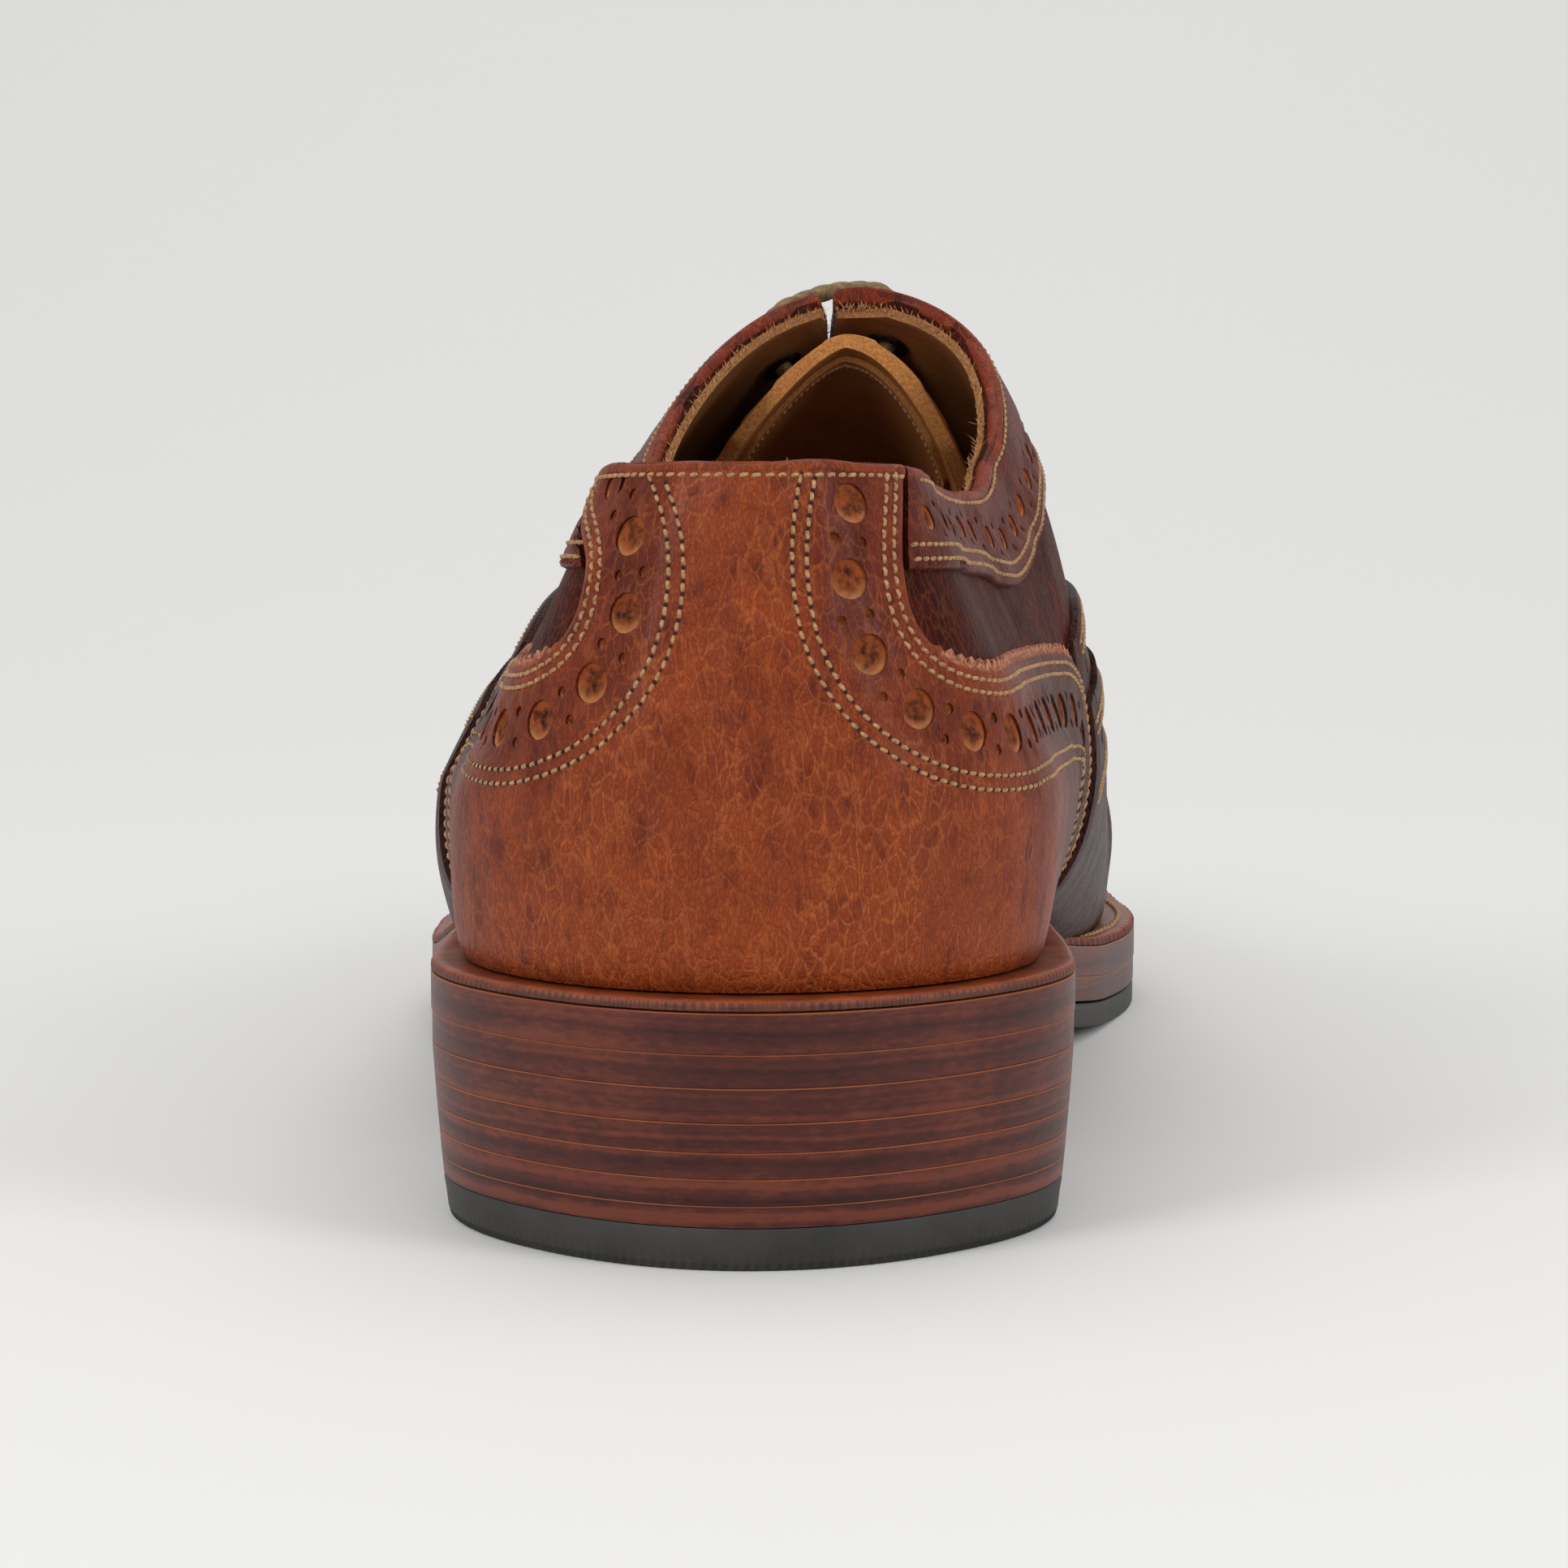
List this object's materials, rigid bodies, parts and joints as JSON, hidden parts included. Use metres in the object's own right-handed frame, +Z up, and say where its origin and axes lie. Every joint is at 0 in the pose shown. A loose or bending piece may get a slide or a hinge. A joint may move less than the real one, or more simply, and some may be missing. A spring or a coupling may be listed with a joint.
{
  "type": "brogue shoe",
  "caption": "Low full-brogue leather shoe for the left foot, with closed lacing, winged toe cap, punched bands, stitched welt and stacked heel.",
  "frame": {"origin": "on the floor, at the middle of the shoe's length and width", "axes": "+Y from the heel to the toe, +X to the inner side of the foot, +Z up"},
  "size_m": [0.1108, 0.312, 0.111],
  "materials": {
    "quarter_leather": "oxblood brown, grained, polished",
    "counter_leather": "cognac, pebble grained, polished",
    "facing_leather": "chestnut brown, grained, polished",
    "vamp_leather": "chestnut brown, grained, polished",
    "cap_leather": "chestnut brown, grained, burnished at the edges",
    "tongue_leather": "tan brown, smooth, with a raw edge",
    "lining_leather": "mid brown, smooth, matte",
    "welt_leather": "brown, wheeled edge, waxed",
    "edge_leather": "dark brown, burnished edge",
    "heel_leather": "dark brown, burnished edge",
    "sole_rubber": "black brown, matte",
    "lace_cord": "waxed round cord, olive brown",
    "eyelet_metal": "black, satin"
  },
  "bodies": {
    "root": {"counter": "counter_leather", "eyelet_inner_1": "eyelet_metal", "eyelet_inner_2": "eyelet_metal", "eyelet_inner_3": "eyelet_metal", "eyelet_inner_4": "eyelet_metal", "eyelet_inner_5": "eyelet_metal", "eyelet_outer_1": "eyelet_metal", "eyelet_outer_2": "eyelet_metal", "eyelet_outer_3": "eyelet_metal", "eyelet_outer_4": "eyelet_metal", "eyelet_outer_5": "eyelet_metal", "facing_inner": "facing_leather", "facing_outer": "facing_leather", "heel_lift_1": "heel_leather", "heel_lift_2": "heel_leather", "heel_lift_3": "heel_leather", "heel_lift_4": "heel_leather", "heel_lift_5": "heel_leather", "heel_top_piece": "sole_rubber", "insole": "lining_leather", "lace": "lace_cord", "leather_sole": "edge_leather", "midsole": "edge_leather", "rubber_sole": "sole_rubber", "tongue": "tongue_leather", "upper": "quarter_leather", "vamp": "vamp_leather", "welt": "welt_leather", "wing_cap": "cap_leather"}
  },
  "joints": []
}
